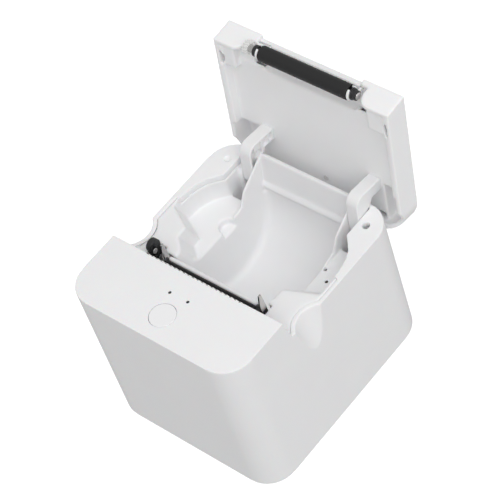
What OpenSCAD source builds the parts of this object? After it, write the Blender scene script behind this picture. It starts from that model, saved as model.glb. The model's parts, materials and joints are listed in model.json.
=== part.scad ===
// Compact receipt printer with a lift-up lid, drawn with the lid open on its stop.
// X runs left to right, Y front to back, Z up. The origin is the centre of the
// rubber foot ring, on the surface that the printer stands on.

/* [Body] */
// Width of the body, left to right
body_w = 112; // [110:1:116]
// Depth of the body, front to back
body_d = 128; // [127:1:130]
// Height of the front deck above the table
body_h = 99; // [99:0.5:101]
// Radius of the four upright edges
corner_r = 16; // [12:1:17]
// Thickness of the outer walls
wall = 2.4; // [2:0.1:2.4]
// Front to back length of the deck
deck_len = 40.2; // [39.8:0.1:40.2]
// Height from the deck down to the rim under the lid
rim_drop = 14; // [14:0.1:14.4]

/* [Lid] */
// Angle between the closed lid and the open lid
open_angle = 97.4; // [60:0.1:97.4]
// Distance from the back face to the hinge axis
hinge_inset = 8.5; // [8.4:0.1:8.6]
// Distance from the rim down to the hinge axis
hinge_drop = 10; // [9.8:0.1:10.2]
// Gap between the closed lid and the body
lid_gap = 0.3; // [0.2:0.1:0.5]

/* [Paper path] */
// Inner width of the bay that the paper roll lies in
bay_w = 60.4; // [59:0.2:60.4]
// Radius of the curved floor of the bay
bay_r = 34.8; // [33:0.2:34.8]
// Sideways shift of the bay, which leaves room for the gears on the left
bay_shift = 1.5; // [1.4:0.1:1.6]
// Length of the rubber on the platen roller
platen_len = 56.5; // [55:0.5:57]
// Radius of the rubber on the platen roller
platen_r = 4.15; // [3.8:0.05:4.2]

/* [Button] */
// Radius of the feed button
button_r = 7.1; // [5:0.1:8]
// How far the feed button travels
button_travel = 0.8; // [0.4:0.1:0.8]

/* [Hidden] */
$fn = 64;

// Body levels
foot_proud = 0.4;
shell_z = foot_proud;
rim_z = body_h - rim_drop;
deck_y = -body_d / 2 + deck_len;
back_y = body_d / 2;
inner_x = body_w / 2 - wall;
tub_gap = 0.2;
tub_wall = 1.6;
ledge_z = 67.6;
pocket_z = 58;
pocket_y = 42.5;
cover_z = rim_z - 0.6;
mech_back_y = -13.6;

// Hinge
hinge_y = back_y - hinge_inset;
hinge_z = rim_z - hinge_drop;
pin_r = 1.5;
run_gap = 0.05;
lid_clear_r = 13.2;
arm_w = 7.4;
arm_gap = 0.4;
eye_r = 4.2;
arm_leg = 7;
arm_front_y = hinge_y - 22;

// Bay
bay_x0 = bay_shift - bay_w / 2;
bay_x1 = bay_shift + bay_w / 2;
bay_wall = 1.4;
blade = 1;
bay_front_y = -14.2;
bay_cy = bay_front_y + bay_r;
bay_cz = rim_z - 19;
bay_crease = [bay_front_y + 2 * bay_r, bay_cz + 1.4];
bay_back_y = hinge_y + 4.3;
bay_back_z = rim_z + 4.5;
bay_lip_z = rim_z + 3.4;
arm_left_x = bay_x0 - blade - arm_gap - arm_w;
arm_right_x = bay_x1 + blade + arm_gap;

// Platen roller, in the closed position
platen_y = -21.2;
platen_z = rim_z + 3.6;
rubber_x0 = -25.8;
rubber_x1 = rubber_x0 + platen_len;
shaft_r = 2;
bush_r = 2.6;
clip_t = 1.3;
clip_gap = 0.3;

// Gears: teeth module, face width and centres
gear_m = 0.5;
gear_face = 3;
gear_x_a = -36.4;
gear_x_b = -39.8;
platen_teeth = 13;
idler_teeth = 22;
small_teeth = 14;
large_teeth = 34;
pinion_teeth = 12;
mesh_gap = 0.12;
axle_r = 1;
idler_drop = gear_m * (platen_teeth + idler_teeth) / 2 + 1;
idler_c = [platen_y, platen_z - idler_drop];
small_ang = 225;
small_dist = gear_m * (idler_teeth + small_teeth) / 2 + mesh_gap;
reduction_c = idler_c + small_dist * [cos(small_ang), sin(small_ang)];
pinion_ang = 240;
pinion_dist = gear_m * (large_teeth + pinion_teeth) / 2 + mesh_gap;
pinion_c = reduction_c + pinion_dist * [cos(pinion_ang), sin(pinion_ang)];

// Latch hooks
hook_t = 1;
hook_left_x = -32;
hook_right_x = 32.7;
latch_c = [-17.6, rim_z - 9];
latch_r = 1.2;

// Deck controls
button_y = -49.8;
led_y = -37.2;
led_x = 5.9;
led_r = 0.95;
board_top = body_h - 13.4;

// ---------- shared shapes ----------

module rounded_2d(w, d, r) {
    square([w - 2 * r, d], center = true);
    square([w, d - 2 * r], center = true);
    for (sx = [-1, 1], sy = [-1, 1])
        translate([sx * (w / 2 - r), sy * (d / 2 - r)])
            circle(r);
}

// The body's plan outline, drawn in by an even margin
module plan_2d(inset) {
    rounded_2d(body_w - 2 * inset, body_d - 2 * inset, corner_r - inset);
}

module plan_block(inset, z0, z1) {
    translate([0, 0, z0])
        linear_extrude(z1 - z0)
            plan_2d(inset);
}

// Extrude a profile drawn in (y, z) along X
module yz(x0, len) {
    translate([x0, 0, 0])
        rotate([90, 0, 90])
            linear_extrude(len)
                children();
}

module box(a, b) {
    translate(a)
        cube(b - a);
}

module rod_x(c, x0, x1, r) {
    translate([x0, c[0], c[1]])
        rotate([0, 90, 0])
            cylinder(h = x1 - x0, r = r);
}

module rod_z(c, z0, z1, r) {
    translate([c[0], c[1], z0])
        cylinder(h = z1 - z0, r = r);
}

// Children are drawn with the lid closed and come out with it open
module lid_open() {
    translate([0, hinge_y, hinge_z])
        rotate([-open_angle, 0, 0])
            translate([0, -hinge_y, -hinge_z])
                children();
}

function gear_points(teeth) = let (
    pitch = gear_m * teeth / 2,
    tip = pitch + 0.9 * gear_m,
    root = pitch - 1.15 * gear_m,
    step = 360 / teeth
) [
    for (i = [0 : teeth - 1], p = [[-0.31, root], [-0.13, tip], [0.13, tip], [0.31, root]])
        let (a = (i + p[0]) * step)
            p[1] * [cos(a), sin(a)]
];

module gear(c, x0, teeth, turn) {
    yz(x0, gear_face)
        translate(c)
            rotate(turn)
                polygon(gear_points(teeth));
}

// ---------- body ----------

pad_points = [
    [40.8, 70], [40.8, 42], [43.5, 39.2], [47.4, 34.8], [49.4, 30.5],
    [50.6, 26], [51.6, 18], [60, 18], [60, 70]
];

module rim_pads(z0, z1, grow) {
    translate([0, 0, z0])
        linear_extrude(z1 - z0)
            intersection() {
                plan_2d(wall - 0.2);
                union()
                    for (side = [0, 1])
                        mirror([side, 0])
                            translate([-grow, 0])
                                polygon(pad_points);
            }
}

pad_hole_y = 51.6;
step_rake = 2.6;
scoop_y = -8.5;
scoop_r = 12.4;
scoop_depth = 4.7;
scoop_tilt = 11.8;

// Slanted cylinder that sinks a finger dimple into one side
module scoop(r) {
    translate([body_w / 2 + scoop_r - scoop_depth, scoop_y, rim_z])
        rotate([0, -scoop_tilt, 0])
            translate([0, 0, -40])
                cylinder(h = 60, r = r);
}

module both_scoops(r) {
    for (side = [0, 1])
        mirror([side, 0, 0])
            scoop(r);
}

jack_x = 20;
jack_z = 16.2;
usb_x = -20;
usb_z = 16.2;

// Everything above the rim and behind the deck's raked back edge
module lid_space() {
    yz(-body_w, 2 * body_w)
        polygon([
            [deck_y, body_h + 1], [deck_y, body_h], [deck_y + step_rake, rim_z],
            [body_d, rim_z], [body_d, body_h + 1]
        ]);
}

module outer_shell() {
    color("white")
        difference() {
            union() {
                difference() {
                    plan_block(0, shell_z, body_h);
                    plan_block(wall, shell_z - 1, body_h - wall);
                    lid_space();
                }
                intersection() {
                    plan_block(0, shell_z + 40, rim_z);
                    both_scoops(scoop_r + wall);
                }
                rim_pads(rim_z - 4, rim_z, 0);
                // Raked walls that close the deck beside the mechanism
                difference() {
                    for (x = [-body_w / 2 + wall, 44])
                        union() {
                            box([x, deck_y - wall, rim_z], [x + 9.6, deck_y + step_rake, body_h - wall]);
                            box([x, deck_y - wall, rim_z - 6], [x + 9.6, deck_y, rim_z + 0.01]);
                        }
                    lid_space();
                }
                rod_z([0, button_y], body_h - wall - 2.5, body_h - wall, button_r + 2.6);
                for (x = [-13, 13], y = [-56, -42])
                    rod_z([x, y], board_top, body_h - wall, 2.2);
                for (x = [-22, 24])
                    rod_z([x, -37], rim_z - 3, body_h - wall, 3);
                for (side = [0, 1], y = [-50, 44])
                    mirror([side, 0, 0]) {
                        rod_z([42, y], 6.1, 16, 4);
                        box([42, y - 0.8, 6.1], [54, y + 0.8, 16]);
                    }
            }
            both_scoops(scoop_r);
            for (x = [-42, 42], y = [-50, 44])
                rod_z([x, y], 6, 14, 1.5);
            for (x = [-22, 24])
                rod_z([x, -37], rim_z - 4, rim_z + 4, 1.4);
            rod_z([0, button_y], body_h - wall - 1, body_h + 1, button_r + 0.2);
            rod_z([0, button_y], body_h - wall - 4, body_h - wall, button_r + 1.3);
            for (x = [-led_x, led_x])
                rod_z([x, led_y], body_h - wall - 1, body_h + 1, led_r);
            for (x = [-46, 46])
                rod_z([x, pad_hole_y], rim_z - 5, rim_z + 1, 2);
            box([-33.1, deck_y - 0.6, body_h - wall - 1], [31.1, deck_y + 1, body_h + 1]);
            translate([jack_x, back_y - 6, jack_z])
                rotate([-90, 0, 0])
                    cylinder(h = 10, r = 4.6);
            box([usb_x - 6.3, back_y - 6, usb_z - 5.8], [usb_x + 6.3, back_y + 2, usb_z + 5.8]);
        }
}

module bay_profile(t, back_z, front_z) {
    translate([bay_cy, bay_cz])
        intersection() {
            circle(bay_r + t, $fn = 128);
            translate([-100, -100])
                square([200, 100.01]);
        }
    polygon([
        [bay_front_y - t, bay_cz], [bay_crease[0] + t, bay_cz],
        [bay_crease[0] + t, bay_crease[1]], [bay_back_y + t, bay_back_z],
        [bay_back_y + t, back_z], [bay_front_y - t, front_z]
    ]);
}

// Side wall of the bay: high at the back, low where a hand reaches the roll
module bay_side_2d() {
    intersection() {
        bay_profile(bay_wall, bay_back_z, bay_back_z);
        polygon([
            [70, bay_back_z], [bay_back_y, bay_back_z], [41.3, 78], [36.8, 70.4], [31, 69.4],
            [26, ledge_z], [2.6, ledge_z], [-3, 70.5], [-8, cover_z], [-40, cover_z],
            [-40, 0], [70, 0]
        ]);
    }
}

module tub_plan_2d(inset) {
    intersection() {
        plan_2d(wall + tub_gap + inset);
        translate([-body_w, deck_y + 0.3])
            square([2 * body_w, body_d]);
    }
}

// Thumb notch beside the bay, to lift out a used roll
notch_c = [bay_x0 - blade, 25.3];
notch_r = 5;
notch_z = 63;
cover_front_y = deck_y + step_rake + 0.4;

module rear_plan_2d() {
    intersection() {
        tub_plan_2d(0);
        translate([-body_w, pocket_y - bay_wall])
            square([2 * body_w, body_d]);
    }
}

// The two pockets beside the bay's back end, where the arms swing
module pocket_plan_2d() {
    intersection() {
        plan_2d(wall + tub_gap + tub_wall);
        translate([-body_w, pocket_y])
            square([2 * body_w, body_d]);
    }
}

// The corner blocks that carry the pads, drawn in by a margin
module under_pads(inset, z0, z1) {
    translate([0, 0, z0])
        linear_extrude(z1 - z0)
            intersection() {
                plan_2d(wall + tub_gap + inset);
                for (side = [0, 1])
                    mirror([side, 0])
                        translate([inset, 0])
                            polygon(pad_points);
            }
}

// A block whose back face leans out towards its foot
module leaning_block(x0, x1, z1, point, turn, lean) {
    intersection() {
        box([x0, cover_front_y, ledge_z - bay_wall], [x1, 40, z1]);
        translate([point[0], point[1], cover_z])
            rotate([0, 0, turn])
                rotate([lean, 0, 0])
                    box([-60, -60, -60], [60, 0, 60]);
    }
}

module hollow_cover(x0, x1, point, turn, lean) {
    difference() {
        leaning_block(x0, x1, cover_z, point, turn, lean);
        translate([0, -bay_wall - 0.4, -0.01])
            leaning_block(x0 + bay_wall, x1 - bay_wall, cover_z - bay_wall, point, turn, lean);
    }
}

module hinge_boss(x0) {
    yz(x0, 3) {
        translate([hinge_y, hinge_z])
            circle(5);
        translate([hinge_y - 5, pocket_z - 1])
            square([10, hinge_z - pocket_z + 1]);
    }
}

module paper_bucket() {
    color("white")
        difference() {
            union() {
                // Curved bay for the paper roll
                difference() {
                    yz(bay_x0, bay_w)
                        bay_profile(bay_wall, bay_back_z, bay_lip_z);
                    yz(bay_x0 - 1, bay_w + 2)
                        bay_profile(0, body_h, body_h);
                    box([-60, -60, bay_lip_z], [60, 0, body_h]);
                }
                for (x = [bay_x0 - blade, bay_x1])
                    yz(x, blade)
                        bay_side_2d();
                // Ledge around the bay, with its upstand against the shell
                difference() {
                    union() {
                        translate([0, 0, ledge_z - bay_wall])
                            linear_extrude(bay_wall)
                                tub_plan_2d(0);
                        translate([0, 0, pocket_z - bay_wall])
                            linear_extrude(ledge_z - pocket_z + bay_wall)
                                rear_plan_2d();
                        under_pads(0, pocket_z - bay_wall, rim_z - 4.2);
                        rod_z(notch_c, notch_z - bay_wall, ledge_z, notch_r + bay_wall);
                    }
                    yz(bay_x0 - blade, bay_w + 2 * blade)
                        bay_profile(0, body_h, body_h);
                    box([-43.6, -60, 0], [43.6, mech_back_y, body_h]);
                    difference() {
                        translate([0, 0, pocket_z])
                            linear_extrude(body_h)
                                pocket_plan_2d();
                        under_pads(0, pocket_z - 1, rim_z - 4.2);
                    }
                }
                // Lip over the front edge of the bay, behind the roller
                box([-28.2, -16.7, bay_lip_z - bay_wall], [29.9, bay_front_y - 0.5, bay_lip_z]);
                difference() {
                    translate([0, 0, ledge_z - bay_wall])
                        linear_extrude(rim_z - 0.4 - ledge_z + bay_wall)
                            difference() {
                                tub_plan_2d(0);
                                plan_2d(wall + tub_gap + tub_wall);
                            }
                    rim_pads(rim_z - 4.2, rim_z + 1, 0.4);
                    both_scoops(scoop_r + wall + 0.2);
                }
                // Raised covers at the front corners, with slanted back faces
                hollow_cover(-51.8, -36.4, [-36.9, 5.6], -26.7, 16);
                hollow_cover(-36.6, bay_x0 - 0.99, [-34.5, -2.8], -40, 18);
                hollow_cover(bay_x1 + 0.99, 51.8, [33.2, -1], 20.7, 36);
                hinge_boss(arm_left_x - 3.4);
                hinge_boss(arm_right_x + arm_w + 0.4);
            }
            // Openings for the gears and the two latch hooks
            box([-43.6, -60, pocket_z], [bay_x0 + 0.01, mech_back_y, body_h]);
            box([-43.6, -60, ledge_z + 1], [-36.5, -9.4, body_h]);
            box([-36.51, -60, ledge_z + 1], [bay_x0 + 0.01, -11.8, body_h]);
            box([bay_x1 - 0.01, -60, pocket_z], [34.8, -10.8, body_h]);
            under_pads(1.8, 0, rim_z - 4.2 - bay_wall);
            rod_z(notch_c, notch_z, body_h, notch_r);
            for (x = [-46, 46])
                rod_z([x, pad_hole_y], rim_z - 8, rim_z, 2);
            both_scoops(scoop_r + wall + 0.2);
            rod_x([hinge_y, hinge_z], -60, 60, pin_r);
            for (c = [[38.6, 22.6], [33.4, 28.4]])
                rod_z(c, ledge_z - 3, ledge_z + 1, 1);
        }
}

module base_cover() {
    color("gainsboro")
        difference() {
            union() {
                plan_block(wall + tub_gap, 0.8, 3);
                for (x = [-33, 33], y = [-26, 52])
                    rod_z([x, y], 2, 9, 3);
                for (x = [-42, 42], y = [-50, 44])
                    rod_z([x, y], 2, 6, 4);
            }
            translate([0, 0, -0.1])
                linear_extrude(1.5)
                    foot_2d(0.05);
            for (x = [-42, 42], y = [-50, 44]) {
                rod_z([x, y], 0, 2.2, 3.4);
                rod_z([x, y], 0, 7, 1.6);
            }
            for (x = [-33, 33], y = [-26, 52])
                rod_z([x, y], 5, 10, 1.2);
        }
}

module foot_2d(grow) {
    difference() {
        plan_2d(wall + 3 - grow);
        plan_2d(wall + 8 + grow);
    }
}

module foot_ring() {
    color("dimgray")
        linear_extrude(1.4)
            foot_2d(0);
}

module screw_z(c, z0, head_r, head_h, len, r) {
    difference() {
        union() {
            rod_z(c, z0, z0 + head_h, head_r);
            rod_z(c, z0 + head_h - 0.01, z0 + head_h + len, r);
        }
        for (a = [0, 90])
            translate([c[0], c[1], z0])
                rotate(a)
                    cube([head_r * 1.2, 0.6, 1], center = true);
    }
}

module base_screws() {
    color("silver")
        for (x = [-42, 42], y = [-50, 44])
            screw_z([x, y], 0.9, 2.8, 1.3, 10, 1.5);
}

module button_cap() {
    color("white")
        difference() {
            union() {
                rod_z([0, button_y], body_h - 3.2, body_h, button_r);
                rod_z([0, button_y], body_h - wall - 1.3, body_h - wall - 0.1, button_r + 0.9);
                rod_z([0, button_y], board_top + 5.5, body_h - 2, 1.8);
            }
            difference() {
                rod_z([0, button_y], body_h - 6, body_h - 1.4, button_r - 1.4);
                rod_z([0, button_y], body_h - 6, body_h, 1.8);
            }
        }
}

module button_board() {
    color("darkgreen")
        difference() {
            box([-16, -59, board_top - 1.6], [16, -35.6, board_top]);
            for (x = [-13, 13], y = [-56, -42])
                rod_z([x, y], board_top - 2, board_top + 1, 1);
        }
}

module tact_switch() {
    color("black") {
        box([-3, button_y - 3, board_top], [3, button_y + 3, board_top + 3.4]);
        rod_z([0, button_y], board_top + 3.4, board_top + 4.6, 1.7);
    }
}

module status_leds() {
    color("lightyellow")
        for (x = [-led_x, led_x])
            box([x - 1, led_y - 0.8, board_top], [x + 1, led_y + 0.8, board_top + 1]);
}

module light_pipes() {
    color("dimgray")
        for (x = [-led_x, led_x])
            rod_z([x, led_y], board_top + 1.2, body_h - 0.3, led_r);
}

// ---------- print mechanism ----------

chassis_x0 = -29.9;
chassis_x1 = 31.4;

module mech_chassis() {
    color([0.1, 0.1, 0.1])
        difference() {
            union() {
                yz(chassis_x0, chassis_x1 - chassis_x0) {
                    translate([-32.6, rim_z - 12])
                        square([16.9, 5.6]);
                    translate([-32.6, rim_z - 7])
                        square([1.6, 14]);
                    translate([-24.8, rim_z - 8])
                        square([9.1, 7]);
                    translate([-16.9, rim_z - 8])
                        square([1.2, 9.6]);
                }
                for (x = [-22, 24])
                    box([x - 3.4, -40.4, rim_z - 5], [x + 3.4, -31.4, rim_z - 3]);
                for (x = [chassis_x0, chassis_x1 - 1.2])
                    yz(x, 1.2)
                        translate([-24.6, rim_z - 8])
                            square([8.9, 11.4]);
            }
            for (x = [-22, 24])
                rod_z([x, -37], rim_z - 8, rim_z, 1.5);
            rod_x([platen_y, platen_z], -50, 50, platen_r + 0.3);
            rod_x(latch_c, -50, 50, latch_r + run_gap);
            box([-12.5, -33, rim_z - 6.4], [14.5, -30.5, rim_z - 5.4]);
            box([8, -20.5, rim_z - 6.7], [13, -16.9, rim_z]);
        }
}

module chassis_screws() {
    color("silver")
        for (x = [-22, 24])
            screw_z([x, -37], rim_z - 6.2, 2.6, 1.2, 5, 1.4);
}

module print_head() {
    color("tan")
        box([-27, -26.3, rim_z - 5.8], [28.6, -25.5, rim_z + 8.4]);
}

module heat_sink() {
    color("silver")
        difference() {
            box([-27.6, -28.4, rim_z - 5.5], [29.2, -26.3, rim_z + 8.6]);
            for (i = [0 : 8])
                box([-25 + 6 * i, -29, rim_z], [-22.6 + 6 * i, -27.4, rim_z + 9]);
        }
}

// Bowed leaf spring that pushes the head against the platen
module head_spring() {
    color("lightgray")
        yz(-20, 42)
            polygon([
                [-31, rim_z - 5], [-30.6, rim_z - 5], [-30.6, rim_z - 2], [-28.4, rim_z + 1.5],
                [-28.4, rim_z + 2.5], [-30.6, rim_z + 6], [-31, rim_z + 6], [-31, rim_z + 5.6],
                [-28.9, rim_z + 2.2], [-28.9, rim_z + 1.8], [-31, rim_z - 1.6]
            ]);
}

// Flat cable from the print head down to the main board
module head_ribbon() {
    color("ivory")
        yz(-12, 26)
            polygon([
                [-25.5, rim_z - 6.2], [-25.5, rim_z - 5.9], [-33.3, rim_z - 5.9], [-33.3, 19.9],
                [-25.4, 13.3], [-25.4, 13], [-25.1, 13], [-25.1, 13.4], [-33, 20],
                [-33, rim_z - 6.2]
            ]);
}

tear_teeth = 42;

// Serrated strip along the back edge of the deck
module tear_bar() {
    color("silver")
        translate([0, deck_y, 0])
            rotate([90, 0, 0])
                linear_extrude(0.6)
                    polygon(concat(
                        [[31, rim_z + 9.4], [-33, rim_z + 9.4]],
                        [for (i = [0 : tear_teeth])
                            [-33 + 64 * i / tear_teeth, body_h - (i % 2 == 0 ? 0.9 : 0.2)]]
                    ));
}

module paper_sensor() {
    color("black")
        box([8, -20.5, rim_z - 6.7], [13, -16.9, rim_z - 1]);
}

hook_points = [
    [-1.8, -2.2], [3.4, -2.2], [4.2, 5], [4.3, 10.6], [3.9, 14], [3.4, 20.2],
    [1.8, 20.2], [1.2, 17.8], [0.5, 14.4], [0.5, 5], [-1.8, 2]
];

module latch_hooks() {
    color("lightgray") {
        for (x = [hook_left_x, hook_right_x])
            yz(x, hook_t)
                translate(latch_c)
                    difference() {
                        polygon(hook_points);
                        circle(latch_r - 0.01);
                    }
        rod_x(latch_c, hook_left_x - 0.6, hook_right_x + hook_t + 0.6, latch_r);
    }
}

module gear_plate() {
    color("silver")
        difference() {
            yz(-33.2, 0.8)
                translate([-51, rim_z - 31])
                    square([mech_back_y + 51, 30]);
            rod_x(idler_c, -40, -30, axle_r);
            rod_x(reduction_c, -40, -30, axle_r);
            rod_x(pinion_c, -40, -30, 2.5);
            rod_x(latch_c, -40, -30, latch_r + 0.3);
        }
}

// Black cover over the gears, with an ear that stands up beside the platen
ear_c = [-13.5, rim_z + 2.9];
ear_r = 3.8;
cover_x = -43.2;

module gear_cover() {
    color([0.08, 0.08, 0.08])
        difference() {
            union() {
                yz(cover_x, 2.9)
                    translate([-50, rim_z - 30])
                        square([mech_back_y + 50, 29.2]);
                yz(cover_x, 3.4) {
                    translate(ear_c)
                        circle(ear_r);
                    translate([ear_c[0] - 3, rim_z - 5])
                        square([6, 6]);
                }
                box([cover_x, -50, rim_z - 30], [-33.2, -48.6, rim_z - 0.8]);
                box([cover_x, -50, rim_z - 30], [-33.2, mech_back_y, rim_z - 28.6]);
            }
            rod_x([ear_c[0] - 1.2, rim_z + 0.6], -44, -38, 1.7);
        }
}

module cover_screw() {
    color("gray")
        rod_x([ear_c[0] - 1.2, rim_z + 0.6], cover_x, -39.5, 1.6);
}

module stepper_motor() {
    color("silver")
        difference() {
            union() {
                rod_x(pinion_c, -32.4, -16, 10.6);
                rod_x(pinion_c, -33.2, -32.4, 2.4);
                rod_x(pinion_c, -16.01, -15, 3);
            }
            rod_x(pinion_c, -34, -30, 1.05);
        }
}

module motor_pinion() {
    color("gold") {
        difference() {
            gear(pinion_c, gear_x_b, pinion_teeth, pinion_ang + 180 - 180 / pinion_teeth);
            rod_x(pinion_c, -45, -30, 0.99);
        }
        rod_x(pinion_c, gear_x_b - 0.2, -30.4, 1);
    }
}

module reduction_gear() {
    color("ivory")
        difference() {
            union() {
                gear(reduction_c, gear_x_a + 0.01, small_teeth, small_ang - 180);
                gear(reduction_c, gear_x_b, large_teeth, pinion_ang);
                rod_x(reduction_c, gear_x_b, gear_x_a + 0.5, 2.6);
            }
            rod_x(reduction_c, -45, -30, axle_r + run_gap);
        }
}

module idler_gear() {
    color("ivory")
        difference() {
            gear(idler_c, gear_x_a, idler_teeth, small_ang - 180 / idler_teeth);
            rod_x(idler_c, -45, -30, axle_r + run_gap);
        }
}

module gear_axles() {
    color("silver") {
        rod_x(idler_c, -36.8, -32.4, axle_r);
        rod_x(reduction_c, -40.2, -32.4, axle_r);
    }
}

// ---------- electronics ----------

module board_screws() {
    color("silver")
        for (x = [-33, 33], y = [-26, 52])
            translate([0, 0, 11.9])
                mirror([0, 0, 1])
                    screw_z([x, y], 0, 2.2, 1.3, 5, 1.2);
}

module main_board() {
    color("darkgreen")
        difference() {
            box([-37, -30, 9], [37, 58, 10.6]);
            for (x = [-33, 33], y = [-26, 52])
                rod_z([x, y], 8, 11, 1.2);
        }
}

module board_chips() {
    color("black") {
        box([-12, 6, 10.6], [4, 22, 12.2]);
        box([14, 10, 10.6], [22, 16, 12]);
        box([22, 26, 10.6], [32, 36, 16]);
        box([-34, -8, 10.6], [-28, 0, 12]);
        box([-13, -26, 10.6], [15, -24.4, 13]);
        for (c = [[-31, 26], [-31, 38]])
            rod_z(c, 10.6, 22, 4);
    }
}

module dc_jack() {
    color("black") {
        difference() {
            box([jack_x - 4.5, back_y - 15, 10.6], [jack_x + 4.5, back_y - wall - 0.3, 21.6]);
            translate([jack_x, back_y - 12, jack_z])
                rotate([-90, 0, 0])
                    cylinder(h = 20, r = 2.85);
        }
        translate([jack_x, back_y - 12.5, jack_z])
            rotate([-90, 0, 0])
                cylinder(h = 8.5, r = 1.05);
    }
}

module usb_port() {
    color("silver") {
        difference() {
            box([usb_x - 6, back_y - 18, 10.6], [usb_x + 6, back_y - 0.4, 21.6]);
            box([usb_x - 4.2, back_y - 11, usb_z - 3.9], [usb_x + 4.2, back_y + 1, usb_z + 3.9]);
        }
        box([usb_x - 2.8, back_y - 11.5, usb_z - 1.6], [usb_x + 2.8, back_y - 2, usb_z + 1.6]);
    }
}

module hinge_pins() {
    color("silver") {
        rod_x([hinge_y, hinge_z], arm_left_x - 3.4, bay_x0 - 0.2, pin_r);
        rod_x([hinge_y, hinge_z], bay_x1 + 0.2, arm_right_x + arm_w + 3.4, pin_r);
    }
}

// ---------- lid, drawn closed and then opened ----------

lid_z0 = rim_z + lid_gap;
lid_skin = 2.2;
lid_front_y = deck_y + 0.9;
exit_y = lid_front_y + 2.7;
lid_rake = 3.1;
liner_z = rim_z + 6;
liner_t = 1.6;
mouth_x0 = -38.2;
mouth_x1 = 36.4;
mouth_r = 6.5;
mouth_z = body_h - 3.6;
lid_screw_c = [2.5, 52.4];
slot_x0 = -29.6;
slot_x1 = 29.6;
slot_y = -6.4;

module hinge_clearance() {
    rod_x([hinge_y, hinge_z], -body_w, body_w, lid_clear_r);
}

// Crescent-shaped pockets in the lid's rim, above the finger scoops
module lid_crescents() {
    intersection() {
        both_scoops(scoop_r - 1);
        box([-53.9, -30, 0], [53.9, 10, rim_z + 5]);
    }
}

// The lid's outline with its raked front, drawn in by a margin
module lid_block(inset, z0, z1, front) {
    intersection() {
        plan_block(inset, z0, z1);
        yz(-body_w, 2 * body_w)
            polygon([
                [lid_front_y + lid_rake + front, lid_z0 - 1], [body_d, lid_z0 - 1],
                [body_d, body_h], [lid_front_y + front, body_h]
            ]);
    }
}

module lid_shell() {
    color("white")
        lid_open()
            difference() {
                union() {
                    difference() {
                        lid_block(0, lid_z0, body_h, 0);
                        lid_block(wall, lid_z0 - 1, body_h - lid_skin, 2.3);
                    }
                    // Bar along the front edge, above the roller
                    box([mouth_x0 - 0.5, lid_front_y + 1, mouth_z], [mouth_x1 + 0.5, exit_y + 0.2, body_h - 1]);
                    box([rubber_x0, lid_front_y + 1, mouth_z], [rubber_x1, exit_y + 3.6, body_h - 1]);
                    box([mouth_x0 - 0.5, lid_front_y + 1, mouth_z - 2], [rubber_x0 - 1.8, exit_y, mouth_z + 0.01]);
                }
                // Mouth for the roller, with rounded corners
                box([rubber_x0 - 1.8, -40, lid_z0 - 1], [mouth_x1, 0, mouth_z]);
                box([mouth_x0, -40, lid_z0 - 1], [rubber_x0 - 1.79, 0, mouth_z - 2]);
                for (side = [0, 1])
                    mirror([side, 0, 0])
                        translate([side == 0 ? mouth_x1 : -mouth_x0, 0, lid_z0])
                            difference() {
                                box([-1, -40, -1], [mouth_r, -12, mouth_r]);
                                translate([mouth_r, -41, mouth_r])
                                    rotate([-90, 0, 0])
                                        cylinder(h = 30, r = mouth_r);
                            }
                // Shallow recess where the paper leaves
                box([-33.5, -40, 0], [31.5, exit_y, body_h + 1]);
                hinge_clearance();
                lid_crescents();
            }
}

module liner_plan_2d() {
    intersection() {
        plan_2d(wall + 0.2);
        difference() {
            translate([-60, -8])
                square([120, 66]);
            translate([slot_x0, -9])
                square([slot_x1 - slot_x0, 9 + slot_y]);
        }
    }
}

module lid_pockets(z0, z1, grow) {
    box([-60, 37 - grow, z0], [arm_left_x - 1.5 + grow, 70, z1]);
    box([arm_right_x + arm_w + 1.5 - grow, 37 - grow, z0], [60, 70, z1]);
}

module lid_liner() {
    color("whitesmoke")
        lid_open()
            difference() {
                union() {
                    difference() {
                        translate([0, 0, liner_z])
                            linear_extrude(liner_t)
                                liner_plan_2d();
                        lid_pockets(liner_z - 1, body_h, 0);
                    }
                    // Side flanges and the walls of the two rear pockets
                    intersection() {
                        plan_block(wall + 0.2, lid_z0 + 0.5, liner_z + 1);
                        union()
                            for (x = [-53.4, 51.9])
                                box([x, -17.1, lid_z0], [x + 1.5, 37, liner_z + 1]);
                    }
                    intersection() {
                        plan_block(wall + 0.2, liner_z, body_h - lid_skin);
                        difference() {
                            lid_pockets(liner_z, body_h, 1.2);
                            lid_pockets(liner_z - 1, body_h, 0);
                        }
                    }
                    // Raised ledges beside the roller
                    for (c = [[-53.4, -44.6], [41, 53.4]]) {
                        box([c[0], -17.1, lid_z0 + 1.4], [c[1], -4, lid_z0 + 3]);
                        box([c[0], -5.4, lid_z0 + 1.4], [c[1], -4, liner_z + 1]);
                    }
                    // Wall behind the roller and ribs up to the lid's skin
                    box([slot_x0 - 1, slot_y, liner_z], [slot_x1 + 1, slot_y + 1.4, body_h - lid_skin - 0.2]);
                    box([-44.6, -18.5, liner_z + 1.9], [-37.6, -7, liner_z + 3.1]);
                    box([-44.6, -8.2, liner_z], [-37.6, -7, liner_z + 3]);
                    for (x = [-26, 0, 27])
                        box([x, slot_y + 1, liner_z + 1], [x + 1.4, 50, body_h - lid_skin - 0.2]);
                    rod_z(lid_screw_c, liner_z + 1, body_h - lid_skin - 0.2, 2.6);
                }
                hinge_clearance();
                lid_crescents();
                rod_z(lid_screw_c, liner_z - 1, body_h - lid_skin + 0.01, 1);
            }
}

module arm_2d(inset) {
    y0 = arm_front_y + inset;
    y1 = arm_front_y + arm_leg - inset;
    z0 = hinge_z - eye_r + inset;
    z1 = hinge_z + 3 - inset;
    r = 6 - inset;
    translate([y0, z0 + r])
        square([y1 - y0, liner_z - z0 - r]);
    translate([y0 + r, z0])
        square([hinge_y - y0 - r, z1 - z0]);
    translate([y0 + r, z0 + r])
        circle(r);
}

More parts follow.
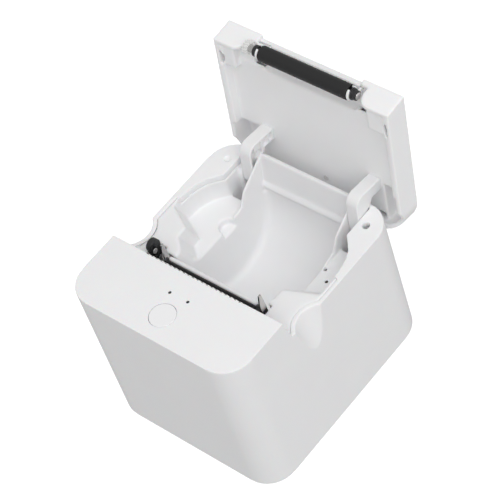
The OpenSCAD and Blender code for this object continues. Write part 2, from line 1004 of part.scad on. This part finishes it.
module hinge_arm(x0, recess_x) {
    lid_open()
        difference() {
            union() {
                yz(x0, arm_w)
                    arm_2d(0);
                rod_x([hinge_y, hinge_z], x0, x0 + arm_w, eye_r);
            }
            difference() {
                yz(recess_x, 3)
                    intersection() {
                        arm_2d(1.3);
                        square([hinge_y - 5.6, liner_z - 2]);
                    }
                for (s = [0.35, 0.65, 0.9])
                    box([x0 - 1, arm_front_y, hinge_z + 16 * s], [x0 + arm_w + 1, hinge_y, hinge_z + 16 * s + 1.2]);
            }
            rod_x([hinge_y, hinge_z], x0 - 1, x0 + arm_w + 1, pin_r + run_gap);
        }
}

module hinge_arm_left() {
    color("white")
        hinge_arm(arm_left_x, arm_left_x + arm_w - 2.9);
}

module hinge_arm_right() {
    color("white")
        hinge_arm(arm_right_x, arm_right_x - 0.1);
}

bush_left_x0 = rubber_x0 - 4.3;
bush_right_x1 = rubber_x1 + 4.7;

// C-shaped holders that hang from the lid and carry the roller's bushes
module platen_clip(x0) {
    difference() {
        union() {
            yz(x0, clip_t) {
                translate([platen_y, platen_z])
                    circle(bush_r + 1.3);
                translate([platen_y + 1.7, platen_z])
                    square([bush_r - 0.4, body_h - lid_skin - platen_z - 0.2]);
            }
        }
        rod_x([platen_y, platen_z], x0 - 1, x0 + clip_t + 1, bush_r);
        box([x0 - 1, platen_y - 6, platen_z - 1.5], [x0 + clip_t + 1, platen_y, platen_z + 1.5]);
    }
}

module platen_clips() {
    color("white")
        lid_open() {
            platen_clip(rubber_x0 - clip_gap - clip_t);
            platen_clip(rubber_x1 + clip_gap);
        }
}

module bush(x0, x1, flange_x0, flange_x1) {
    difference() {
        union() {
            rod_x([platen_y, platen_z], x0, x1, bush_r);
            rod_x([platen_y, platen_z], flange_x0, flange_x1, bush_r + 0.5);
        }
        rod_x([platen_y, platen_z], x0 - 1, x1 + 1, shaft_r + run_gap);
    }
}

module platen_bushes() {
    clip_left = rubber_x0 - clip_gap - clip_t;
    clip_right = rubber_x1 + clip_gap + clip_t;
    color([0.1, 0.1, 0.1])
        lid_open() {
            bush(bush_left_x0, clip_left + clip_t, bush_left_x0, clip_left - 0.05);
            bush(clip_right - clip_t, bush_right_x1, clip_right + 0.05, clip_right + 1);
        }
}

module platen_shaft() {
    color("silver")
        lid_open()
            difference() {
                rod_x([platen_y, platen_z], gear_x_a - 0.4, bush_right_x1 + 0.6, shaft_r);
                box([-60, platen_y + 1.6, platen_z - 3], [gear_x_a + gear_face, platen_y + 3, platen_z + 3]);
            }
}

module platen_rubber() {
    color([0.15, 0.15, 0.15])
        lid_open()
            difference() {
                rod_x([platen_y, platen_z], rubber_x0, rubber_x1, platen_r);
                rod_x([platen_y, platen_z], rubber_x0 - 1, rubber_x1 + 1, shaft_r);
            }
}

module platen_gear() {
    color("ivory")
        lid_open()
            difference() {
                gear([platen_y, platen_z], gear_x_a, platen_teeth, 90);
                rod_x([platen_y, platen_z], -60, 0, shaft_r);
            }
}

module lid_screw() {
    color("gray")
        lid_open()
            screw_z(lid_screw_c, liner_z - 0.6, 1.5, 0.6, 4.8, 1);
}

outer_shell();
paper_bucket();
base_cover();
foot_ring();
base_screws();
button_cap();
button_board();
tact_switch();
status_leds();
light_pipes();
mech_chassis();
chassis_screws();
print_head();
heat_sink();
head_spring();
head_ribbon();
tear_bar();
paper_sensor();
latch_hooks();
gear_plate();
gear_cover();
cover_screw();
stepper_motor();
motor_pinion();
reduction_gear();
idler_gear();
gear_axles();
main_board();
board_screws();
board_chips();
dc_jack();
usb_port();
hinge_pins();
lid_shell();
lid_liner();
hinge_arm_left();
hinge_arm_right();
platen_clips();
platen_bushes();
platen_shaft();
platen_rubber();
platen_gear();
lid_screw();
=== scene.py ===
"""Receipt printer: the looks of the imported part, in metres, in the part's own frame."""

import json
import math
import bmesh
import bpy
from mathutils import Matrix, Vector


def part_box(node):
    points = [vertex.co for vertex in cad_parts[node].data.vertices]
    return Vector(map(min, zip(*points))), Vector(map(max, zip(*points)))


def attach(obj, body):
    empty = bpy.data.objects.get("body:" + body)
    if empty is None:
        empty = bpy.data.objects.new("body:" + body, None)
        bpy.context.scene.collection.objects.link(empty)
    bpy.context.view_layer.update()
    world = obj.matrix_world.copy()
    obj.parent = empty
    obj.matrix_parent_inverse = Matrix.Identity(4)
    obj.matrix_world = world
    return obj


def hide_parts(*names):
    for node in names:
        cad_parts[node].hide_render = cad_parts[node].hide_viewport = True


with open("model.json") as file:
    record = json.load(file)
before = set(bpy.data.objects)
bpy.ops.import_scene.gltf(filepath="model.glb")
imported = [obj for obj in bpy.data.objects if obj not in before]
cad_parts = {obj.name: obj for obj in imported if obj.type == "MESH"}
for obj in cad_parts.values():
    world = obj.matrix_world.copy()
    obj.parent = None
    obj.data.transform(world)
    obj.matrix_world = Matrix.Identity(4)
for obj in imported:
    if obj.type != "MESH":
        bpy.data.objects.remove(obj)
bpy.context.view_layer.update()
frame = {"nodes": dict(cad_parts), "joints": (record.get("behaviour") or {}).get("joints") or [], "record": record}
nodes = frame["nodes"]
MM = 0.001

# ---------- camera ----------

LENS = 163.1
VIEW_RIGHT = Vector((0.7546, 0.6164, -0.2248))
VIEW_DOWN = Vector((0.3836, -0.6925, -0.6110))
CAMERA_AT = Vector((607.5, -415.2, 946.6)) * MM
TARGET = Vector((-9.5, 19.4, 66.8)) * MM


def make_camera():
    right = VIEW_RIGHT.normalized()
    up = (-VIEW_DOWN + VIEW_DOWN.dot(right) * right).normalized()
    data = bpy.data.cameras.new("camera")
    data.lens = LENS
    data.clip_end = 20
    camera = bpy.data.objects.new("camera", data)
    camera.matrix_world = Matrix((right, up, right.cross(up))).transposed().to_4x4()
    camera.location = CAMERA_AT
    bpy.context.scene.collection.objects.link(camera)
    bpy.context.scene.camera = camera


make_camera()
bpy.context.scene.view_settings.view_transform = "Standard"

# ---------- materials ----------


def spread(tree, noise, low, high):
    """A noise texture's value, mapped to the range from low to high."""
    scale = tree.nodes.new("ShaderNodeMapRange")
    scale.inputs["To Min"].default_value = low
    scale.inputs["To Max"].default_value = high
    tree.links.new(noise.outputs["Fac"], scale.inputs["Value"])
    return scale.outputs["Result"]


def material(name, colour, rough, metal=0.0, grain=0.25, bump=0.06, mottle=0.02, streak=1.0, coat=0.0,
             soft=0.0):
    """A moulded or metal finish: fine grain in the bump and gloss, slow changes in colour."""
    m = bpy.data.materials.new(name)
    m.use_nodes = True
    tree = m.node_tree
    shader = tree.nodes["Principled BSDF"]
    shader.inputs["Metallic"].default_value = metal
    shader.inputs["Coat Weight"].default_value = coat
    shader.inputs["Subsurface Weight"].default_value = soft
    shader.inputs["Subsurface Scale"].default_value = 1.5 * MM
    place = tree.nodes.new("ShaderNodeTexCoord")
    stretch = tree.nodes.new("ShaderNodeMapping")
    stretch.inputs["Scale"].default_value = (1, streak, streak)
    tree.links.new(place.outputs["Object"], stretch.inputs["Vector"])

    def noise(scale, detail):
        n = tree.nodes.new("ShaderNodeTexNoise")
        n.inputs["Scale"].default_value = scale
        n.inputs["Detail"].default_value = detail
        tree.links.new(stretch.outputs["Vector"], n.inputs["Vector"])
        return n

    fine = noise(1 / (grain * MM), 3)
    slow = noise(45, 4)
    paint = tree.nodes.new("ShaderNodeMix")
    paint.data_type = "RGBA"
    paint.blend_type = "MULTIPLY"
    paint.inputs["Factor"].default_value = 1
    paint.inputs["A"].default_value = (*colour, 1)
    tree.links.new(spread(tree, slow, 1 - mottle, 1 + mottle), paint.inputs["B"])
    tree.links.new(paint.outputs["Result"], shader.inputs["Base Color"])
    tree.links.new(spread(tree, fine, rough - 0.06, rough + 0.06), shader.inputs["Roughness"])
    lift = tree.nodes.new("ShaderNodeBump")
    lift.inputs["Strength"].default_value = bump
    lift.inputs["Distance"].default_value = 0.05 * MM
    tree.links.new(fine.outputs["Fac"], lift.inputs["Height"])
    tree.links.new(lift.outputs["Normal"], shader.inputs["Normal"])
    return m


LOOK = {
    "housing_white": material("housing white", (0.92, 0.92, 0.928), 0.42, grain=0.3, soft=0.1),
    "inner_white": material("inner white", (0.885, 0.885, 0.893), 0.5, grain=0.3, soft=0.1),
    "cap_white": material("cap white", (0.92, 0.92, 0.928), 0.38, grain=0.3),
    "black_plastic": material("black plastic", (0.022, 0.022, 0.023), 0.4, grain=0.25, bump=0.2),
    "gear_plastic": material("gear plastic", (0.82, 0.82, 0.81), 0.4),
    "light_pipe": material("light pipe", (0.03, 0.03, 0.035), 0.15, coat=0.5),
    "led_lens": material("led lens", (0.8, 0.8, 0.6), 0.2),
    "board_green": material("board green", (0.02, 0.12, 0.05), 0.35, mottle=0.15),
    "platen_rubber": material("platen rubber", (0.011, 0.011, 0.0115), 0.55, grain=0.2, bump=0.35),
    "foot_rubber": material("foot rubber", (0.06, 0.06, 0.06), 0.8, bump=0.5),
    "steel_plate": material("steel plate", (0.35, 0.35, 0.36), 0.35, metal=1, streak=12, bump=0.15),
    "steel_bright": material("steel bright", (0.62, 0.61, 0.60), 0.22, metal=1, streak=9, bump=0.12),
    "steel_screw": material("steel screw", (0.75, 0.75, 0.75), 0.45, metal=0.7, bump=0.15),
    "blackened_steel": material("blackened steel", (0.06, 0.06, 0.062), 0.35, streak=9, bump=0.12),
    "aluminium": material("aluminium", (0.55, 0.56, 0.57), 0.4, metal=1, streak=14, bump=0.2),
    "brass": material("brass", (0.72, 0.55, 0.28), 0.3, metal=1, streak=6),
    "head_ceramic": material("head ceramic", (0.12, 0.12, 0.125), 0.3, bump=0.1),
    "cable_film": material("cable film", (0.7, 0.66, 0.5), 0.35, streak=20, mottle=0.08),
}
# The lid's white is painted lighter than the housing white, a painted lift against the shade on the lid's inner
# panel
LID_WHITE_PAINTED_LIGHTER = material("lid white painted lighter", (0.955, 0.955, 0.962), 0.42, grain=0.3, soft=0.1)
FRAME_GREY = material("grey plastic", (0.09, 0.09, 0.092), 0.4, grain=0.25, bump=0.2)

for node in nodes.values():
    for slot in node.material_slots:
        slot.material = LOOK[slot.material.name]

# ---------- making pieces ----------

BODY_OF = {
    name: body
    for body, names in frame["record"]["behaviour"]["bodies"].items()
    for name in names
}


def new_object(name, mesh):
    obj = bpy.data.objects.new(name, mesh)
    bpy.context.scene.collection.objects.link(obj)
    return obj


def from_bmesh(name, bm):
    """An object with the mesh that a bmesh holds."""
    mesh = bpy.data.meshes.new(name)
    bm.to_mesh(mesh)
    bm.free()
    return new_object(name, mesh)


def cad_copy(name):
    """A new piece with a CAD node's mesh."""
    bm = bmesh.new()
    bm.from_mesh(nodes[name].data)
    bmesh.ops.remove_doubles(bm, verts=bm.verts, dist=0.002 * MM)
    return from_bmesh(name + "_moulded", bm)


def stand_for(piece, slot, *names, paint=None):
    """The piece takes the place of CAD nodes of one body, in the slot's finish or its own paint."""
    piece.data.materials.clear()
    piece.data.materials.append(paint or LOOK[slot])
    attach(piece, BODY_OF[names[0]])
    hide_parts(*names)


def mm_box(name):
    """A node's box in millimetres: its low corner, high corner and middle."""
    low, high = (Vector(v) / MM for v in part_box(name)[:2])
    return low, high, (low + high) / 2


# ---------- plain solids, in millimetres ----------


def rod(x, y, radius, z0, z1):
    """An upright cylinder."""
    bm = bmesh.new()
    bmesh.ops.create_cone(bm, cap_ends=True, segments=64, radius1=radius * MM, radius2=radius * MM,
                          depth=(z1 - z0) * MM)
    bmesh.ops.translate(bm, verts=bm.verts, vec=Vector((x, y, (z0 + z1) / 2)) * MM)
    return from_bmesh("rod", bm)


def rod_x(y, z, radius, x0, x1):
    """A cylinder that lies along x."""
    piece = rod(0, 0, radius, x0, x1)
    piece.data.transform(Matrix.Translation(Vector((0, y, z)) * MM) @ Matrix.Rotation(math.pi / 2, 4, "Y"))
    return piece


def block(low, high):
    bm = bmesh.new()
    bmesh.ops.create_cube(bm, size=1)
    for v in bm.verts:
        v.co = Vector([(low[i] if v.co[i] < 0 else high[i]) * MM for i in range(3)])
    return from_bmesh("block", bm)


# ---------- changing pieces ----------


def settle(obj):
    """Bake an object's modifiers into its mesh."""
    shape = obj.evaluated_get(bpy.context.evaluated_depsgraph_get())
    mesh = bpy.data.meshes.new_from_object(shape)
    obj.modifiers.clear()
    obj.data = mesh


def add_mesh(obj, other):
    """Join another piece's mesh to this one and drop the other piece."""
    bm = bmesh.new()
    bm.from_mesh(obj.data)
    bm.from_mesh(other.data)
    bm.to_mesh(obj.data)
    bm.free()
    bpy.data.objects.remove(other)


def cut(obj, tool):
    """Take the tool's shape out of the object and drop the tool."""
    take = obj.modifiers.new("take", "BOOLEAN")
    take.operation = "DIFFERENCE"
    take.solver = "EXACT"
    take.object = tool
    settle(obj)
    bpy.data.objects.remove(tool)


def remesh(obj, voxel=0.5, grow=0.0, smooth=0):
    """One even skin over a solid, grown along its normals and then smoothed."""
    skin = obj.modifiers.new("skin", "REMESH")
    skin.mode = "VOXEL"
    skin.voxel_size = voxel * MM
    skin.use_smooth_shade = True
    if grow:
        swell = obj.modifiers.new("swell", "DISPLACE")
        swell.mid_level = 0
        swell.strength = grow * MM
    if smooth:
        soft = obj.modifiers.new("soft", "SMOOTH")
        soft.factor = 0.5
        soft.iterations = smooth
    settle(obj)


def thin(obj, share):
    """Fewer faces where the skin is flat."""
    fewer = obj.modifiers.new("fewer", "DECIMATE")
    fewer.ratio = share
    settle(obj)


def sharpen(obj, angle=32):
    """Smooth shading that breaks at real corners."""
    bm = bmesh.new()
    bm.from_mesh(obj.data)
    for face in bm.faces:
        face.smooth = True
    for edge in bm.edges:
        edge.smooth = edge.calc_face_angle(0) < math.radians(angle)
    bm.to_mesh(obj.data)
    bm.free()


def round_edges(obj, width, angle=30):
    """Round every sharp edge, no wider than the faces beside it allow, and shade the rest smooth."""
    bm = bmesh.new()
    bm.from_mesh(obj.data)
    bmesh.ops.remove_doubles(bm, verts=bm.verts, dist=0.002 * MM)
    bmesh.ops.dissolve_limit(bm, angle_limit=math.radians(0.6), verts=bm.verts, edges=bm.edges)
    weight = bm.edges.layers.float.new("bevel_weight_edge")
    for edge in bm.edges:
        if len(edge.link_faces) == 2 and edge.calc_face_angle(0) >= math.radians(angle):
            length = max(edge.calc_length(), 1e-7)
            room = min(f.calc_area() / length for f in edge.link_faces)
            edge[weight] = min(width, 0.42 * room) / width
    for face in bm.faces:
        face.smooth = True
    bm.to_mesh(obj.data)
    bm.free()
    bevel = obj.modifiers.new("round", "BEVEL")
    bevel.limit_method = "WEIGHT"
    bevel.width = width
    bevel.segments = 3
    bevel.use_clamp_overlap = False
    bevel.loop_slide = True
    normals = obj.modifiers.new("normals", "WEIGHTED_NORMAL")
    normals.weight = 60
    settle(obj)


# ---------- sizes of the housings ----------

# Millimetres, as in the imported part: the lid's hinge, the rim, and the open lid's inner panel when shut
HINGE_Y, HINGE_Z = 55.5, 75
RIM_Z = 85
LINER_Z = 91
DECK_Z = mm_box("outer_shell")[1].z

# The bay's two sides, and the round floor's radius and middle
BAY_X0, BAY_X1 = -28.7, 31.7
BAY_R = 34.8
BAY_CY, BAY_CZ = BAY_R - 14.2, RIM_Z - 19

# ---------- outer shell ----------

PAD_HOLE_X, PAD_HOLE_Y, PAD_HOLE_DEPTH = -46, 51.6, 0.9
PIPE_R = 0.9


def make_shell():
    """The deck's holes are filled before the skin is made and cut after it, so that they stay crisp."""
    cap = mm_box("button_cap")[2]
    pipe_low, pipe_high, pipe_mid = mm_box("light_pipes")
    # For each hole: its middle, the plug's radius and depth, and the hole's own radius
    holes = [
        (cap.x, cap.y, 8.3, 1.9, 7.3),
        (pipe_low.x + PIPE_R, pipe_mid.y, 2, 2.3, PIPE_R),
        (pipe_high.x - PIPE_R, pipe_mid.y, 2, 2.3, PIPE_R),
    ]
    shell = cad_copy("outer_shell")
    # The left pad's hole is shallow
    add_mesh(shell, rod(PAD_HOLE_X, PAD_HOLE_Y, 2.3, RIM_Z - 4, RIM_Z - PAD_HOLE_DEPTH))
    for x, y, plug_r, plug_depth, _ in holes:
        add_mesh(shell, rod(x, y, plug_r, DECK_Z - plug_depth, DECK_Z))
    remesh(shell, 0.5, smooth=6)
    thin(shell, 0.15)
    for x, y, _, _, hole_r in holes:
        cut(shell, rod(x, y, hole_r, DECK_Z - 3, DECK_Z + 1))
    sharpen(shell)
    stand_for(shell, "housing_white", "outer_shell")


make_shell()

# ---------- tub ----------

BEAD_Y, BEAD_Z, BEAD_R = 56.9, 70, 2.4
FILLET_R = 4
FILLET_ROOT = 0.4
FILLET_BACK = 0.6


def bay_fillet(x, side, steps=8, turns=48):
    """A concave fillet between the bay's side wall at x and its round floor; side points into the bay."""
    inner = BAY_R - FILLET_R
    outer = BAY_R + FILLET_BACK
    arc = [math.pi / 2 * i / steps for i in range(steps + 1)]
    outline = [(-FILLET_ROOT, inner)]
    outline += [(FILLET_R - FILLET_R * math.cos(t), inner + FILLET_R * math.sin(t)) for t in arc]
    outline += [(FILLET_R, outer), (-FILLET_ROOT, outer)]
    bm = bmesh.new()
    rows = []
    for k in range(turns + 1):
        a = math.pi + math.pi * k / turns
        places = [(x + side * u, BAY_CY + r * math.cos(a), BAY_CZ + r * math.sin(a)) for u, r in outline]
        rows.append([bm.verts.new(Vector(place) * MM) for place in places])
    for near, far in zip(rows, rows[1:]):
        for i in range(len(outline)):
            j = (i + 1) % len(outline)
            bm.faces.new((near[i], near[j], far[j], far[i]))
    bm.faces.new(rows[0])
    bm.faces.new(rows[-1])
    bmesh.ops.recalc_face_normals(bm, faces=bm.faces)
    return from_bmesh("fillet", bm)


def make_tub():
    """The bay has no pin holes in its sides, a low bead at the back, and wide fillets along its floor."""
    tub = cad_copy("paper_bucket")
    for x in (BAY_X0 - 0.9, BAY_X1 + 0.1):
        add_mesh(tub, rod_x(HINGE_Y, HINGE_Z, 2, x, x + 0.8))
    add_mesh(tub, rod_x(BEAD_Y, BEAD_Z, BEAD_R, BAY_X0, BAY_X1))
    for x, side in ((BAY_X0, 1), (BAY_X1, -1)):
        add_mesh(tub, bay_fillet(x, side))
    remesh(tub, 0.5, grow=0.2, smooth=22)
    thin(tub, 0.25)
    stand_for(tub, "inner_white", "paper_bucket")


make_tub()

# ---------- lid and its arms ----------

ARM_W, ARM_FRONT_Y = 7.4, 33.5
ARM_WALL = 1.2
ARM_X0 = {"hinge_arm_left": -37.5, "hinge_arm_right": 33.1}


def opened(obj):
    """Turn a piece drawn with the lid shut to where the open lid carries it."""
    hinge = next(j for j in frame["joints"] if j["name"] == "lid_hinge")
    at = Matrix.Translation(Vector(hinge["pos_m"]))
    turn = Matrix.Rotation(-math.radians(hinge["range_deg"][1]), 4, "X")
    obj.data.transform(at @ turn @ at.inverted())
    return obj


def make_lid():
    """Lid shell and inner panel as one moulding, with the gaps around the roller's seat filled."""
    lid = cad_copy("lid_shell")
    panel = cad_copy("lid_liner")
    remesh(panel, 0.5, grow=0.2)
    add_mesh(lid, panel)
    # Floors beside the roller, then the ledges outside them
    for x0, x1 in ((-45, -36), (36.8, 43)):
        add_mesh(lid, opened(block((x0, -19.6, LINER_Z + 1), (x1, -6.5, DECK_Z - 1))))
    for x0, x1 in ((-49.5, -44.9), (41.3, 49.5)):
        add_mesh(lid, opened(block((x0, -17, LINER_Z - 3.8), (x1, -5, LINER_Z + 2))))
    remesh(lid, 0.5, smooth=10)
    thin(lid, 0.25)
    # The lid wears the lighter white, painted to lift the shade on its inner panel
    stand_for(lid, "housing_white", "lid_shell", "lid_liner", paint=LID_WHITE_PAINTED_LIGHTER)


def make_arm(name, x0):
    """A hinge arm whose recess is filled, as the photographed side is plain."""
    arm = cad_copy(name)
    low = (x0 + ARM_WALL, ARM_FRONT_Y + 0.5, HINGE_Z + 1)
    high = (x0 + ARM_W - ARM_WALL, ARM_FRONT_Y + 6.5, LINER_Z)
    add_mesh(arm, opened(block(low, high)))
    remesh(arm, 0.35, smooth=8)
    thin(arm, 0.4)
    stand_for(arm, "inner_white", name)


make_lid()
for arm_name, arm_x0 in ARM_X0.items():
    make_arm(arm_name, arm_x0)

# ---------- small parts, with their edges rounded ----------

SOFT_WIDTH = {
    "platen_clips": 0.3, "platen_bushes": 0.2,
    "platen_shaft": 0.3, "platen_rubber": 0.4, "platen_gear": 0.12, "gear_cover": 0.4,
    "latch_hooks": 0.15, "button_cap": 0.3, "mech_chassis": 0.2, "heat_sink": 0.15,
    "print_head": 0.1, "gear_plate": 0.12, "idler_gear": 0.1, "lid_screw": 0.2,
    "cover_screw": 0.2, "chassis_screws": 0.2, "light_pipes": 0.2, "base_cover": 0.4,
    "foot_ring": 0.3, "base_screws": 0.2, "paper_sensor": 0.2, "dc_jack": 0.3, "usb_port": 0.2,
    "hinge_pins": 0.3, "board_chips": 0.2, "tact_switch": 0.2, "stepper_motor": 0.4,
}
OWN_PAINT = {"mech_chassis": FRAME_GREY}


def soften(name, width):
    """A copy of a CAD node with its edges rounded, in the node's own finish."""
    source = nodes[name]
    slot = next(k for k, look in LOOK.items() if look == source.material_slots[0].material)
    piece = new_object(name + "_soft", source.data.copy())
    round_edges(piece, width * MM)
    stand_for(piece, slot, name, paint=OWN_PAINT.get(name))


for part_name, edge_width in SOFT_WIDTH.items():
    soften(part_name, edge_width)

# ---------- floor and light ----------


def make_floor():
    """A pale floor that glows by itself and throws no light back on the printer."""
    bpy.ops.mesh.primitive_plane_add(size=12)
    floor = bpy.context.object
    floor.name = "floor"
    floor.location.z = -0.3 * MM
    paint = material("floor", (0.35, 0.35, 0.35), 0.8, grain=1)
    shader = paint.node_tree.nodes["Principled BSDF"]
    shader.inputs["Emission Color"].default_value = (1, 1, 1, 1)
    shader.inputs["Emission Strength"].default_value = 0.9
    floor.data.materials.append(paint)
    floor.visible_diffuse = False
    floor.visible_glossy = False


def make_world(strength):
    """Even white light from all around."""
    world = bpy.data.worlds.new("world")
    bpy.context.scene.world = world
    world.use_nodes = True
    sky = world.node_tree.nodes["Background"]
    sky.inputs["Color"].default_value = (1, 1, 1, 1)
    sky.inputs["Strength"].default_value = strength


def area_light(name, where, size, power):
    """A soft square light that faces the printer."""
    data = bpy.data.lights.new(name, "AREA")
    data.size = size
    data.energy = power
    light = bpy.data.objects.new(name, data)
    light.location = where
    light.rotation_euler = (TARGET - Vector(where)).to_track_quat("-Z", "Y").to_euler()
    bpy.context.scene.collection.objects.link(light)


make_floor()
make_world(0.525)
area_light("key_light", (1.15, -0.46, 1.88), 2.6, 32)
